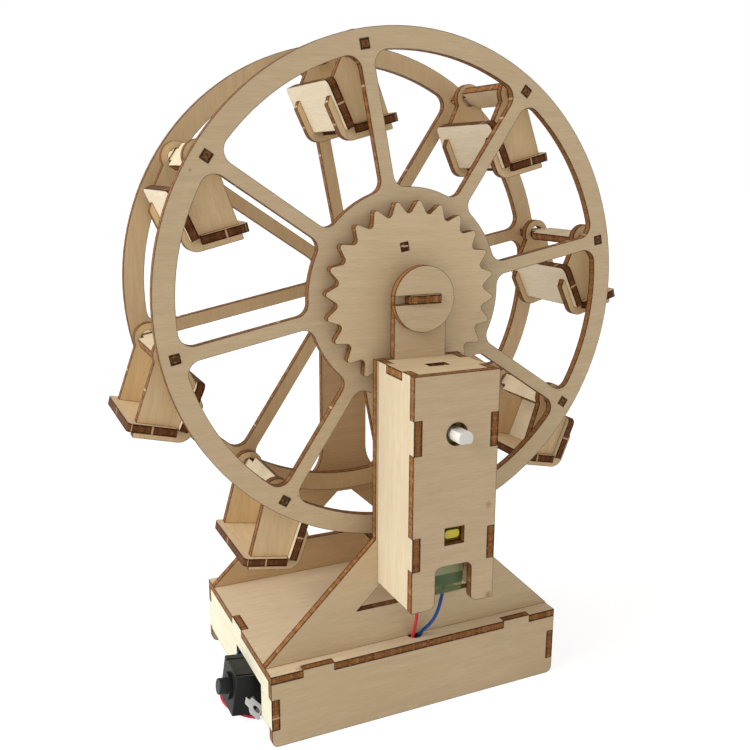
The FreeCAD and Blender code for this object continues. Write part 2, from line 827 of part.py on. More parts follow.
# Sheet-metal tabs that the wires are soldered to
def switch_tab():
    upper = V(-half_length - tab_top_out, switch_front, tab_top_z)
    lower = V(-half_length + tab_end_in, switch_front, tab_end_z)
    lie = (lower - upper).normalize()
    across = V(-lie.z, 0, lie.x) * (tab_width / 2)
    length = (lower - upper).Length
    narrow = lower - lie * (length * tab_narrow)
    end_half = across * tab_narrow_end
    top_round, middle_round, end_round = tab_corners
    points = [(upper + across, top_round), (narrow + across, middle_round), (lower + end_half, end_round)]
    points += [(lower - end_half, end_round), (narrow - across, middle_round), (upper - across, top_round)]
    plate = prism(rounded(points), V(0, -metal, 0))
    middle = upper + lie * (length * tab_hole_place)
    ends = [middle - lie * (tab_hole_length / 2), middle + lie * (tab_hole_length / 2)]
    hole = [Part.makeCylinder(tab_hole_radius, metal, p, V(0, -1, 0)) for p in ends]
    side = across.normalize() * tab_hole_radius
    corners = [ends[0] + side, ends[1] + side, ends[1] - side, ends[0] - side]
    hole.append(prism(rounded([(p, 0.0) for p in corners]), V(0, -metal, 0)))
    return plate.cut(hole)


def metal_tabs():
    tabs = [switch_tab()]
    half = terminal_width / 2
    x0 = rear_tab_x - half
    x1 = rear_tab_x + half
    tabs.append(block(x0, x1, switch_back, switch_back + metal, rear_tab_low, rear_tab_high))
    y = motor_y + terminal_behind
    for side in (-1, 1):
        x0, x1 = sorted((side * terminal_x, side * (terminal_x + metal)))
        tabs.append(block(x0, x1, y - half, y + half, cap_end_z - terminal_length, cap_end_z))
    return tabs + battery_contacts()


# Battery holder
def bay_middles():
    return (-(cell_radius + holder_wall / 2 + loose), cell_radius + holder_wall / 2 + loose)


def holder_ends():
    return holder_middle_x - holder_length / 2, holder_middle_x + holder_length / 2


lug_x = holder_ends()[0] - terminal_length
lug_z = top_under - holder_height / 2


def contact_room():
    # what is left at each end between a cell and the holder's wall
    return holder_length / 2 - holder_wall - (cell_length + cell_nub) / 2


def battery_holder():
    x0, x1 = holder_ends()
    low = top_under - holder_height
    tray = block(x0, x1, -holder_width / 2, holder_width / 2, low, top_under)
    cuts = []
    for y in bay_middles():
        half = cell_radius + loose
        roof = top_under - holder_wall
        cuts.append(block(x0 + holder_wall, x1 - holder_wall, y - half, y + half, low, roof - half))
        cuts.append(along_x(y, roof - half, half, x0 + holder_wall, x1 - holder_wall))
        slot_z = low + holder_height / 2
        cuts.append(block(x0, x0 + holder_wall, y - terminal_width / 2, y + terminal_width / 2,
                          slot_z - metal / 2, slot_z + metal / 2))
    first, second = bay_middles()
    cuts.append(block(x1 - holder_wall - contact_room(), x1 - holder_wall, first, second,
                      low, low + contact_inset + bridge_height))
    return tray.cut(cuts)


def battery_cells():
    cells = []
    x0, x1 = holder_ends()
    middle = (x0 + x1) / 2
    z = top_under - holder_wall - loose - cell_radius
    for y, way in zip(bay_middles(), (-1, 1)):
        length = cell_length + cell_nub
        start = V(middle - way * length / 2, y, z)
        can = Part.makeCylinder(cell_radius, cell_length, start, V(way, 0, 0))
        nub = Part.makeCylinder(cell_nub_radius, length, start, V(way, 0, 0))
        cells.append(fused(can, [nub]))
    return cells


def battery_contacts():
    # plates at both ends of each cell; those at the left end reach out through the holder's wall
    contacts = []
    x0, x1 = holder_ends()
    x_left = x0 + holder_wall
    x_right = x1 - holder_wall
    room = contact_room()
    low = top_under - holder_height + contact_inset
    middle = top_under - holder_height / 2
    half = terminal_width / 2
    reach = cell_radius - contact_inset
    ends = []
    for y in bay_middles():
        plate = block(x_left, x_left + room, y - reach, y + reach, low, middle + contact_top)
        lug = block(lug_x, x_left + metal, y - half, y + half, middle - metal / 2, middle + metal / 2)
        contacts.append(fused(plate, [lug]))
        ends.append(block(x_right - room, x_right, y - reach, y + reach, low, middle + contact_top))
    first, second = bay_middles()
    bridge = block(x_right - room, x_right, first, second, low, low + bridge_height)
    contacts.append(fused(bridge, ends))
    return contacts


# Wires
def tube(name, points, diameter):
    # straight runs joined by tangent arcs, each as large as its two runs allow
    corners = [V(*p) for p in points]
    marks = [(corners[0], None, corners[0])]
    radii = []
    for before, corner, after in zip(corners, corners[1:], corners[2:]):
        back = before - corner
        ahead = after - corner
        reach = bend_share * min(back.Length, ahead.Length)
        back.normalize()
        ahead.normalize()
        half = back.getAngle(ahead) / 2
        radius = reach * math.tan(half)
        radii.append(radius)
        middle = (back + ahead).normalize()
        top = corner + middle * (radius / math.sin(half) - radius)
        marks.append((corner + back * reach, top, corner + ahead * reach))
    marks.append((corners[-1], None, corners[-1]))
    edges = []
    for index, (start, top, end) in enumerate(marks):
        if top is not None:
            edges.append(arc(start, top, end))
        if index + 1 < len(marks):
            edges.append(line(end, marks[index + 1][0]))
    path = Part.Wire(edges)
    way = (corners[1] - corners[0]).normalize()
    section = Part.Wire([Part.Circle(corners[0], way, diameter / 2).toShape()])
    solid = path.makePipeShell([section], True, False)
    expected = math.pi * diameter ** 2 / 4 * path.Length
    runs = [round((b - a).Length, 1) for a, b in zip(corners, corners[1:])]
    full = round(solid.Volume / expected, 4)
    print(name, "length", round(path.Length, 1), "volume", full, "of section times length")
    print("  radii", [round(r, 1) for r in radii], "runs", runs)
    return solid


motor_terminal_y = motor_y + terminal_behind
terminal_end_z = cap_end_z - terminal_length
hole_y = -half_depth + ply + wire_hole_behind
first_lug_y, second_lug_y = bay_middles()
left_x = -half_length

red_motor_route = [
    (-terminal_x - metal / 2, motor_terminal_y, terminal_end_z - solder),
    (-terminal_x + 0.6, motor_terminal_y - 0.2, terminal_end_z - 7.0),
    (wire_hole_x - 4.0, motor_terminal_y + 1.4, box_height + 13.2),
    (wire_hole_x - 2.2, hole_y - 4.8, box_height + 6.8),
    (wire_hole_x - 1.3, hole_y - 1.1, box_height - 0.4),
    (wire_hole_x - 2.8, hole_y + 1.0, top_under - 3.6),
    (wire_hole_x - 7.2, hole_y + 6.6, lug_z + 0.3),
    (lug_x + 4.6, first_lug_y - 14.55, lug_z - 0.3),
    (lug_x - 0.6, first_lug_y - 8.55, lug_z - 0.1),
    (lug_x - solder, first_lug_y - terminal_width / 2, lug_z),
]
blue_route = [
    (terminal_x + metal / 2, motor_terminal_y, terminal_end_z - solder),
    (terminal_x - 1.5, motor_terminal_y - 0.2, terminal_end_z - 7.2),
    (wire_hole_x + 4.8, motor_terminal_y + 1.6, box_height + 12.6),
    (wire_hole_x + 4.0, hole_y - 5.2, box_height + 6.0),
    (wire_hole_x + 1.3, hole_y - 1.0, box_height + 0.6),
    (wire_hole_x, hole_y - 0.4, top_under - 4.8),
    (wire_hole_x - 4.0, hole_y + 0.6, lug_z - 3.7),
    (lug_x + 5.2, hole_y + 3.6, lug_z - 7.9),
    (lug_x - 5.4, hole_y + 9.2, lug_z - 8.9),
    (lug_x - 16.6, hole_y + 16.2, lug_z - 8.3),
    (left_x + 15.8, switch_back - 4.9, rear_tab_low - 0.4),
    (left_x + 8.6, switch_back + 1.9, rear_tab_low + 2.0),
    (left_x + 3.4, switch_back + 5.7, rear_tab_high - 2.4),
    (left_x - 0.8, switch_back + 4.7, rear_tab_high - 0.9),
    (rear_tab_x, switch_back + metal + solder, rear_tab_high - 0.8),
]
red_switch_route = [
    (left_x + tab_end_in - wire_beside_tab, switch_front - metal / 2, tab_end_z),
    (left_x - 3.0, switch_front + 1.8, 1.1),
    (left_x - 6.2, switch_front + 6.2, 1.2),
    (left_x - 8.8, switch_front + 12.0, 1.7),
    (left_x - 9.0, switch_back + 1.1, 3.0),
    (left_x - 5.6, switch_back + 5.1, 4.8),
    (left_x - 0.4, switch_back + 5.5, side_lift + 1.0),
    (left_x + 6.2, switch_back + 7.1, side_lift + 2.4),
    (left_x + 15.2, second_lug_y - 3.25, lug_z - 8.9),
    (lug_x - 15.4, second_lug_y + 0.55, lug_z - 7.5),
    (lug_x - 6.2, second_lug_y + 1.55, lug_z - 3.9),
    (lug_x - solder, second_lug_y, lug_z),
]


# Cabins
def back_line():
    # lower and upper end of the back sheet's inner face, and the directions up it and out of it
    low = V(back_low_u, 0, -back_low_drop)
    high = V(back_high_u, 0, -back_high_drop)
    lean = (high - low).normalize()
    out = V(lean.z, 0, -lean.x)
    return low, high, lean, out


def on_ring(u):
    # the point on the lower half of the ring's edge at u
    return V(u, 0, -math.sqrt(ring_radius ** 2 - u ** 2))


def cabin_side():
    # ring, body, floor slot, foot and hook, going round from the front end of the floor slot
    low, high, lean, out = back_line()
    slot_out = low + out * ply
    hook_inner = slot_out + lean * ((-hook_top_drop - slot_out.z) / lean.z)
    hook_outer = hook_inner + out * hook_width - lean * hook_chamfer
    foot_back = hook_outer - lean * ((hook_outer.z + foot_drop) / lean.z)
    front_high = on_ring(-side_front_high)
    front = V(-side_front, 0, -floor_drop)
    down_front = (front - front_high).normalize()
    front_low = front + down_front * (-ply / down_front.z)
    front_foot = front + down_front * ((floor_drop - foot_drop) / down_front.z)
    slot_end = V(floor_back, 0, -floor_drop)
    corners = [(front, 0), (slot_end, 0), (slot_end - V(0, 0, ply), 0), (front_low, 0)]
    corners += [(front_foot, small_round), (foot_back, foot_corner), (hook_outer, small_round)]
    corners += [(hook_inner + out * small_round, 0), (hook_inner, 0), (slot_out, 0), (low, 0)]
    corners += [(high - lean * side_back_below, 0), (on_ring(side_back_high), 0), (front_high, 0)]
    body = prism(rounded(corners), V(0, ply, 0))
    ring = pin(0, 0, ring_radius, 0, ply)
    return fused(body, [ring]).cut(pin(0, 0, ring_hole, 0, ply))


def placed(shape, index):
    # swing a cabin piece about its ring, face it the right way and hang it on its bar
    piece = shape.copy()
    piece.rotate(V(0, 0, 0), V(0, 1, 0), cabin_swing[index])
    if not cabin_faces_left[index]:
        piece = piece.mirror(V(0, 0, 0), V(1, 0, 0))
    piece.translate(at_angle(bar_circle, wheel_turned + index * step))
    return piece


def cabin_sides(index):
    side = cabin_side()
    pieces = []
    for y in (cabin_front_y, cabin_rear_y - cabin_rear_in[index]):
        piece = placed(side, index)
        piece.translate(V(0, y, 0))
        pieces.append(piece)
    return pieces


def cabin_floor(index):
    y0 = cabin_front_y - seat_over_front
    corners = [(-floor_front, 0, floor_corner), (floor_back, 0)]
    corners += [(floor_back, seat_length), (-floor_front, seat_length, floor_corner)]
    plate = sheet("xy", corners, -floor_drop - ply)
    plate.translate(V(0, y0, 0))
    return placed(plate, index)


def cabin_back(index):
    low, high, lean, out = back_line()
    start = V(0, cabin_front_y - seat_over_front, 0)
    end = start + V(0, seat_length, 0)
    corners = [(low + start, 0), (high + start, sheet_corner), (high + end, sheet_corner), (low + end, 0)]
    return placed(prism(rounded(corners), out * ply), index)


def main():
    os.makedirs("parts", exist_ok=True)
    save("base_front_panel", long_panel(-half_depth))
    save("base_back_panel", long_panel(half_depth - ply))
    save("base_left_panel", end_panel(-half_length, True))
    save("base_right_panel", end_panel(half_length - ply, False))
    save("base_top_panel", box_top())
    save("support_front", support_front())
    save("support_rear", support_rear())
    save("tower_front_panel", tower_front())
    save("tower_left_panel", tower_side(-1))
    save("tower_right_panel", tower_side(1))
    save("tower_top_panel", tower_top())
    save("axle_bar", axle_bar())
    save("axle_retainers", axle_retainers())
    save("wheel_spacers", wheel_spacers())
    save("wheel_front", wheel(wheel_front_y, hub_radius, True))
    save("wheel_rear", wheel(wheel_rear_y, rear_hub_radius, False))
    save("crossbars", [crossbar(index) for index in range(spokes)])
    save("drive_gear", drive_gear())
    save("gear_pegs", gear_pegs())
    save("pinion", pinion())
    save("output_shaft", output_shaft())
    save("gearbox_front_shell", gearbox_shell(True))
    save("gearbox_rear_shell", gearbox_shell(False))
    save("gearbox_screws", gearbox_screws())
    save("motor_can", motor_can())
    save("motor_end_cap", motor_end_cap())
    save("motor_strap", motor_strap())
    save("switch_housing", switch_housing())
    save("switch_button", switch_button())
    save("switch_spring", switch_spring())
    save("metal_tabs", metal_tabs())
    save("battery_holder", battery_holder())
    save("battery_cells", battery_cells())
    save("wire_red_motor", tube("wire_red_motor", red_motor_route, wire))
    save("wire_blue", tube("wire_blue", blue_route, wire))
    save("wire_red_switch", tube("wire_red_switch", red_switch_route, wire))
    for index in range(spokes):
        name = "cabin_" + str(index + 1)
        save(name + "_sides", cabin_sides(index))
        save(name + "_back", cabin_back(index))
        save(name + "_floor", cabin_floor(index))


main()
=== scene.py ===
# Looks for the plywood ferris wheel kit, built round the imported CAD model.
# Lengths are in metres, in the model's own frame: +X right along the front, +Y to the rear, +Z up.
import math

import bpy
from mathutils import Matrix, Vector
from mathutils.geometry import tessellate_polygon


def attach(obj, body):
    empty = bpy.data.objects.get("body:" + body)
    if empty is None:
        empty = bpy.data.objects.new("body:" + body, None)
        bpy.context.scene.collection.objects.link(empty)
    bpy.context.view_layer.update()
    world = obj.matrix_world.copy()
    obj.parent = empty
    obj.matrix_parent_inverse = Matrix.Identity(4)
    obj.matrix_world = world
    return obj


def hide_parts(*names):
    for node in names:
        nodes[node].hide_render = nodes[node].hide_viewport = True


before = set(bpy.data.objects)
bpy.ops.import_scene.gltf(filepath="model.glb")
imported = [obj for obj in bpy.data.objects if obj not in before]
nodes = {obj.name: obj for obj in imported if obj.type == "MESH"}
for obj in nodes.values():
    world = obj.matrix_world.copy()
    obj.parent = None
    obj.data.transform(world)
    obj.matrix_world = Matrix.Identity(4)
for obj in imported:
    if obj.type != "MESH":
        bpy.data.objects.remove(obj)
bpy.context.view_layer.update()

X = Vector((1, 0, 0))
Y = Vector((0, 1, 0))
Z = Vector((0, 0, 1))
origin = Vector((0, 0, 0))

# Sizes that the looks share with the solids
sheet = 0.003
axle = Vector((0, 0, 0.1572))
wheel_middle = 0.0019                  # depth at which the cabins' middles hang
wheel_turned = -11.25                  # degrees from upright to the first cabin's bar
cabins = 8
bar_circle = 0.086
radial_bars = (2, 4, 5, 6)             # bars that stand towards the middle; the others lie along the rim
cabin_over = 0.0378                    # depth of a cabin over its two sides
back_rise = 17.6                       # the slope of a cabin's back sheet, as rise and run
back_run = 3.1
# for each cabin: its small swing in degrees, the way it faces and how far its rear side is set in
cabin_swing = (15.5, 14.7, 15.7, 12.1, 10.5, 9.9, 13.9, 14.0)
cabin_faces_left = (False, False, False, True, True, True, True, False)
cabin_rear_in = (0.0047, 0.0029, 0.0015, 0.0018, 0.0018, 0.0, 0.0015, 0.0017)
wire_radius = 0.00065

# Where a sheet was held by a thin bridge while it was cut, along its edge
bridge_every = 0.061                   # between bridges whose places the photograph doesn't show
no_bridge = 0.5                        # a place beyond every edge
left_panel_bridge = 0.0115
back_bridge = -0.0143
floor_bridge = 0.0012

# Plywood colours
pale_birch = (0.628, 0.478, 0.298)
brown_birch = (0.572, 0.428, 0.260)
dark_fibre = (0.46, 0.335, 0.20)
light_fibre = (0.72, 0.58, 0.39)
blotch_brown = (0.575, 0.418, 0.245)
fleck_brown = (0.33, 0.215, 0.115)
scorch_brown = (0.30, 0.155, 0.05)
bridge_pale = (0.62, 0.44, 0.25)
bar_end_black = (0.040, 0.022, 0.010)
outline_black = (0.038, 0.014, 0.005)
# a burnt edge from the middle of the sheet's thickness, 0, to its faces, 1
burnt_layers = (
    (0.00, (0.330, 0.142, 0.042)), (0.24, (0.280, 0.112, 0.031)), (0.32, (0.150, 0.052, 0.015)),
    (0.40, (0.330, 0.140, 0.042)), (0.60, (0.265, 0.104, 0.029)), (0.70, (0.120, 0.040, 0.011)),
    (0.80, (0.055, 0.019, 0.006)), (1.00, (0.040, 0.014, 0.005)),
)
burnt_streak = (0.085, 0.028, 0.008)
burnt_light = (0.46, 0.235, 0.090)
burnt_dark = (0.085, 0.030, 0.009)
outline_reach = 0.00056                # how far the laser's dark line reaches from an edge
grain_wander = 0.004                   # how far the straight grain wanders sideways


# Camera: fitted to the straight edges and rings of the photograph
def make_camera():
    azimuth = math.radians(-25.07)
    elevation = math.radians(13.2)
    roll = math.radians(0.25)
    place = (-0.1456, -0.30965, 0.20212)
    sensor_width = 36.0
    focal_pixels = 891.62
    picture_pixels = 750
    back = Vector((math.sin(azimuth) * math.cos(elevation),
                   -math.cos(azimuth) * math.cos(elevation), math.sin(elevation)))
    level = Vector((math.cos(azimuth), math.sin(azimuth), 0))
    upright = back.cross(level)
    right = level * math.cos(roll) + upright * math.sin(roll)
    up = upright * math.cos(roll) - level * math.sin(roll)
    data = bpy.data.cameras.new("camera")
    data.sensor_width = sensor_width
    data.lens = focal_pixels / picture_pixels * sensor_width
    data.clip_start = 0.01
    data.clip_end = 50
    camera = bpy.data.objects.new("camera", data)
    bpy.context.scene.collection.objects.link(camera)
    turn = Matrix((right, up, back)).transposed()
    camera.matrix_world = Matrix.Translation(place) @ turn.to_4x4()
    bpy.context.scene.camera = camera


# Node graphs
class Paint:
    """A material and short ways to add nodes to it."""

    def __init__(self, name):
        self.material = bpy.data.materials.new(name)
        self.material.use_nodes = True
        self.tree = self.material.node_tree
        self.tree.nodes.clear()
        self.shader = self.add("ShaderNodeBsdfPrincipled")
        output = self.add("ShaderNodeOutputMaterial")
        self.tree.links.new(self.shader.outputs[0], output.inputs["Surface"])
        self.place = self.add("ShaderNodeTexCoord").outputs["Object"]

    def add(self, kind, **settings):
        node = self.tree.nodes.new(kind)
        for key, value in settings.items():
            setattr(node, key, value)
        return node

    def put(self, socket, value):
        if isinstance(value, bpy.types.NodeSocket):
            self.tree.links.new(value, socket)
        elif socket.type == "RGBA":
            socket.default_value = (*value, 1)
        else:
            socket.default_value = value

    def put_all(self, node, values):
        for socket, value in zip(node.inputs, values):
            self.put(socket, value)

    def calc(self, operation, *values):
        node = self.add("ShaderNodeMath", operation=operation)
        self.put_all(node, values)
        return node.outputs[0]

    def vector(self, operation, *values):
        node = self.add("ShaderNodeVectorMath", operation=operation)
        self.put_all(node, values)
        return node.outputs["Value" if operation in ("DOT_PRODUCT", "LENGTH") else "Vector"]

    def combine(self, x, y, z):
        node = self.add("ShaderNodeCombineXYZ")
        self.put_all(node, (x, y, z))
        return node.outputs[0]

    def separate(self, vector):
        node = self.add("ShaderNodeSeparateXYZ")
        self.put(node.inputs[0], vector)
        return node.outputs

    def noise(self, vector, scale, detail=2.0, roughness=0.5):
        node = self.add("ShaderNodeTexNoise")
        self.put(node.inputs["Vector"], vector)
        node.inputs["Scale"].default_value = scale
        node.inputs["Detail"].default_value = detail
        node.inputs["Roughness"].default_value = roughness
        return node.outputs[0]

    def step(self, value, low, high, to_low=0.0, to_high=1.0):
        node = self.add("ShaderNodeMapRange", interpolation_type="SMOOTHSTEP")
        self.put_all(node, (value, low, high, to_low, to_high))
        return node.outputs[0]

    def mix(self, factor, first, second):
        node = self.add("ShaderNodeMix", data_type="RGBA")
        self.put(node.inputs[0], factor)
        self.put(node.inputs[6], first)
        self.put(node.inputs[7], second)
        return node.outputs[2]

    def mix_vectors(self, factor, first, second):
        node = self.add("ShaderNodeMix", data_type="VECTOR")
        self.put(node.inputs[0], factor)
        self.put(node.inputs[4], first)
        self.put(node.inputs[5], second)
        return node.outputs[1]

    def stops(self, value, items, interpolation="LINEAR"):
        node = self.add("ShaderNodeValToRGB")
        node.color_ramp.interpolation = interpolation
        elements = node.color_ramp.elements
        while len(elements) < len(items):
            elements.new(0.5)
        for element, (at, colour) in zip(elements, items):
            element.position = at
            element.color = (*colour, 1)
        self.put(node.inputs[0], value)
        return node.outputs[0]

    def true_normal(self):
        return self.add("ShaderNodeNewGeometry").outputs["True Normal"]

    def flat_normal(self):
        # the face's own direction in the model's frame, also on the narrow flats of the rims
        node = self.add("ShaderNodeVectorTransform", vector_type="NORMAL", convert_from="WORLD",
                        convert_to="OBJECT")
        self.put(node.inputs[0], self.true_normal())
        return node.outputs[0]

    def bump(self, height, strength, distance, flat=False):
        node = self.add("ShaderNodeBump")
        if flat:
            self.put(node.inputs["Normal"], self.true_normal())
        node.inputs["Strength"].default_value = strength
        node.inputs["Distance"].default_value = distance
        self.put(node.inputs["Height"], height)
        self.put(self.shader.inputs["Normal"], node.outputs[0])


def scaled(colour, factor):
    return tuple(v * factor for v in colour)


def metres(point):
    return tuple(v / 1000 for v in point)


# Plywood: pale birch faces with a fine straight grain, and laser-cut edges burnt brown
def spots_mask(paint, spots):
    # soft scorched spots: each is a place, a radius and a strength
    total = None
    rough = paint.noise(paint.place, 420.0, 3.0, 0.6)
    for centre, radius, strength in spots:
        away = paint.vector("LENGTH", paint.vector("SUBTRACT", paint.place, centre))
        away = paint.calc("MULTIPLY_ADD", rough, radius * 0.9, away)
        mask = paint.step(away, radius * 0.55, radius * 1.35, strength, 0.0)
        total = mask if total is None else paint.calc("MAXIMUM", total, mask)
    return total


def flat_sheet(paint, place, normal, start, twin):
    # the sheet's direction, and the distance from the middle of its thickness; twin for a pair
    # of sheets that stand alike on both sides of the middle
    depth = paint.vector("DOT_PRODUCT", place, tuple(normal))
    if twin:
        depth = paint.calc("ABSOLUTE", depth)
    return tuple(normal), paint.calc("ABSOLUTE", paint.calc("SUBTRACT", depth, start + sheet / 2))


def bar_sheet(paint, place):
    # the same for the cross bars, each of which has its own direction: at the wheel's middle or
    # along the rim
    x, _, z = paint.separate(place)
    turn = paint.calc("ARCTAN2", x, z)
    first = (180 / cabins - wheel_turned) / 360
    share = paint.calc("FRACT", paint.calc("MULTIPLY_ADD", turn, 0.5 / math.pi, first + 1.0))
    flags = [(k / cabins, (1.0,) * 3 if k in radial_bars else (0.0,) * 3) for k in range(cabins)]
    radial = paint.stops(share, flags, "CONSTANT")
    index = paint.calc("FLOOR", paint.calc("MULTIPLY", share, float(cabins)))
    angle = paint.calc("MULTIPLY_ADD", index, 2 * math.pi / cabins, math.radians(wheel_turned))
    sine = paint.calc("SINE", angle)
    cosine = paint.calc("COSINE", angle)
    outward = paint.combine(sine, 0.0, cosine)
    along_rim = paint.combine(cosine, 0.0, paint.calc("MULTIPLY", sine, -1.0))
    normal = paint.mix_vectors(radial, outward, along_rim)
    shift = paint.calc("MULTIPLY_ADD", radial, -bar_circle, bar_circle)
    depth = paint.calc("SUBTRACT", paint.vector("DOT_PRODUCT", place, normal), shift)
    return normal, paint.calc("ABSOLUTE", depth)


def birch_face(paint, place, normal, grain, seed, tone_and_light):
    # fine grain, faint bands, slow blotches and a few short flecks
    along = paint.vector("DOT_PRODUCT", place, tuple(grain))
    across = paint.vector("DOT_PRODUCT", place, tuple(normal.cross(grain)))
    warp = paint.noise(paint.combine(along, across, seed), 16.0, 2.0)
    bent = paint.calc("MULTIPLY_ADD", warp, grain_wander, across)

    def pulled(share, side, shift):
        # a place for a pattern that is stretched along the grain
        return paint.combine(paint.calc("MULTIPLY", along, share), side, seed + shift)

    fibre = paint.noise(pulled(0.07, bent, 3.1), 2300.0, 3.0, 0.65)
    band = paint.noise(pulled(0.10, bent, 7.7), 420.0, 4.0, 0.6)
    blotch = paint.noise(paint.combine(along, across, seed + 1.3), 42.0, 3.0)
    fleck = paint.noise(pulled(0.16, across, 5.2), 1700.0, 1.0)

    # the tint scales every colour: partly the sheet's own tone, partly painted light
    def toned(colour):
        return tuple(v * t for v, t in zip(colour, tone_and_light))

    wood = paint.mix(paint.step(band, 0.30, 0.70), toned(pale_birch), toned(brown_birch))
    wood = paint.mix(paint.step(fibre, 0.40, 0.76, 0.0, 0.46), wood, toned(dark_fibre))
    wood = paint.mix(paint.step(fibre, 0.22, 0.42, 0.42, 0.0), wood, toned(light_fibre))
    wood = paint.mix(paint.step(blotch, 0.46, 0.72, 0.0, 0.42), wood, toned(blotch_brown))
    wood = paint.mix(paint.step(fleck, 0.735, 0.79, 0.0, 0.45), wood, fleck_brown)
    return wood, fibre


def burnt_edge(paint, run, depth, seed, edge, mark):
    # layered, darkest beside the faces, with fine burn streaks through the sheet
    def pattern(share, shift, scale, detail, roughness=0.5):
        spot = paint.combine(run, paint.calc("MULTIPLY", depth, share), seed + shift)
        return paint.noise(spot, scale, detail, roughness)

    def scorched(colour):
        red, green, blue = colour
        return (red * edge, green * edge ** 1.25, blue * edge ** 1.4)

    streak = pattern(0.3, 0.0, 2300.0, 3.0, 0.65)
    patch = pattern(1.3, 2.0, 620.0, 3.0)
    wander = paint.noise(paint.combine(run, seed, seed), 260.0, 2.0)
    layer = paint.calc("DIVIDE", depth, sheet / 2)
    uneven = paint.calc("ADD", layer, paint.calc("MULTIPLY_ADD", wander, 0.16, -0.08))
    burnt = paint.stops(uneven, [(at, scorched(colour)) for at, colour in burnt_layers])
    burnt = paint.mix(paint.step(streak, 0.42, 0.66, 0.0, 0.60), burnt, scorched(burnt_streak))
    burnt = paint.mix(paint.step(patch, 0.52, 0.68, 0.0, 0.55), burnt, scorched(burnt_light))
    burnt = paint.mix(paint.step(patch, 0.30, 0.46, 0.65, 0.0), burnt, scorched(burnt_dark))

    # a thin pale mark where the piece was held in its sheet by a bridge
    if mark is None:
        turns = paint.calc("MULTIPLY_ADD", run, 1 / bridge_every, seed * 0.37)
        away = paint.calc("SUBTRACT", paint.calc("FRACT", turns), 0.5)
        away = paint.calc("MULTIPLY", paint.calc("ABSOLUTE", away), bridge_every)
    else:
        away = paint.calc("ABSOLUTE", paint.calc("SUBTRACT", run, mark))
    away = paint.calc("MULTIPLY_ADD", wander, 0.00025, away)
    burnt = paint.mix(paint.step(away, 0.00028, 0.00058, 0.85, 0.0), burnt, bridge_pale)
    return burnt, streak, patch


def plywood(name, normal, grain, seed, start=0.0, around=None, twin=False, bars=False,
            tone_and_light=(1.0, 1.0, 1.0), edge=1.0, mark=None, spots=()):
    # normal is the sheet's direction and start the depth of its first face from the place around,
    # grain the direction of its fibres, edge the strength of its burnt edge and mark its bridge
    # The tint multiplies the face colours: partly the sheet's own tone, partly painted light on the piece.
    paint = Paint("birch_" + name)
    place = paint.place if around is None else paint.vector("SUBTRACT", paint.place, around)
    facing = paint.flat_normal()
    if bars:
        sheet_normal, depth = bar_sheet(paint, place)
    else:
        sheet_normal, depth = flat_sheet(paint, place, normal, start, twin)
    facing_out = paint.calc("ABSOLUTE", paint.vector("DOT_PRODUCT", facing, sheet_normal))
    wood, fibre = birch_face(paint, place, normal, grain, seed, tone_and_light)
    if spots:
        wood = paint.mix(spots_mask(paint, spots), wood, scorch_brown)
    run = paint.vector("DOT_PRODUCT", place, paint.vector("CROSS_PRODUCT", facing, sheet_normal))
    burnt, streak, patch = burnt_edge(paint, run, depth, seed, edge, mark)
    if bars:
        # the bars' ends were cut twice and are nearly black
        ends = paint.calc("ABSOLUTE", paint.vector("DOT_PRODUCT", facing, Y))
        ends = paint.calc("MULTIPLY", paint.step(ends, 0.5, 0.9), paint.step(patch, 0.44, 0.62, 0.85, 0.35))
        burnt = paint.mix(ends, burnt, bar_end_black)
    colour = paint.mix(paint.step(facing_out, 0.80, 0.90), burnt, wood)

    # the laser leaves a dark line on both sides of every sharp edge
    worn = paint.add("ShaderNodeBevel", samples=6)
    worn.inputs["Radius"].default_value = outline_reach
    bend = paint.vector("DOT_PRODUCT", worn.outputs[0], paint.true_normal())
    colour = paint.mix(paint.step(bend, 0.90, 0.995, 1.0, 0.0), colour, outline_black)

    inputs = paint.shader.inputs
    paint.put(inputs["Base Color"], colour)
    paint.put(inputs["Roughness"], paint.step(fibre, 0.2, 0.8, 0.54, 0.70))
    paint.put(inputs["Specular IOR Level"], paint.step(facing_out, 0.80, 0.90, 0.12, 0.3))
    height = paint.mix(paint.step(facing_out, 0.6, 0.8), streak, fibre)
    paint.bump(height, 0.22, 0.0001, flat=True)
    return paint.material


# Plastics and metals
def moulded(name, colour, roughness, specks=0.05, alpha=None, shine=0.5, painted_shade=None):
    paint = Paint(name)
    cloud = paint.step(paint.noise(paint.place, 90.0, 3.0), 0.3, 0.7)
    fine = paint.noise(paint.place, 1400.0, 2.0)
    tone = paint.mix(cloud, scaled(colour, 1 - specks), scaled(colour, 1 + specks))
    if painted_shade is not None:
        # painted shade: darker behind a given depth along y, where the gearbox shells lie in shade inside
        # the tower
        painted_shade_mask = paint.step(paint.separate(paint.place)[1], *painted_shade)
        tone = paint.mix(painted_shade_mask, tone, scaled(colour, 0.30))
    inputs = paint.shader.inputs
    paint.put(inputs["Base Color"], tone)
    paint.put(inputs["Roughness"], paint.step(fine, 0.3, 0.7, roughness - 0.05, roughness + 0.06))
    inputs["Specular IOR Level"].default_value = shine
    if alpha is not None:
        inputs["Alpha"].default_value = alpha
    paint.bump(fine, 0.08, 0.00008)
    return paint.material


def metal(name, colour, roughness, along, metallic=1.0):
    # along stretches the fine lines that rolling or drawing leaves
    paint = Paint(name)
    fine = paint.noise(paint.vector("MULTIPLY", paint.place, along), 2200.0, 2.0)
    cloud = paint.step(paint.noise(paint.place, 120.0, 2.0), 0.3, 0.7, 0.0, 0.35)
    inputs = paint.shader.inputs
    paint.put(inputs["Base Color"], paint.mix(cloud, colour, scaled(colour, 0.8)))
    paint.put(inputs["Roughness"], paint.step(fine, 0.25, 0.75, roughness - 0.08, roughness + 0.12))
    inputs["Metallic"].default_value = metallic
    paint.bump(fine, 0.06, 0.00005)
    return paint.material


clear_strap = moulded("strap_plastic", (0.18, 0.26, 0.08), 0.22, alpha=0.34)


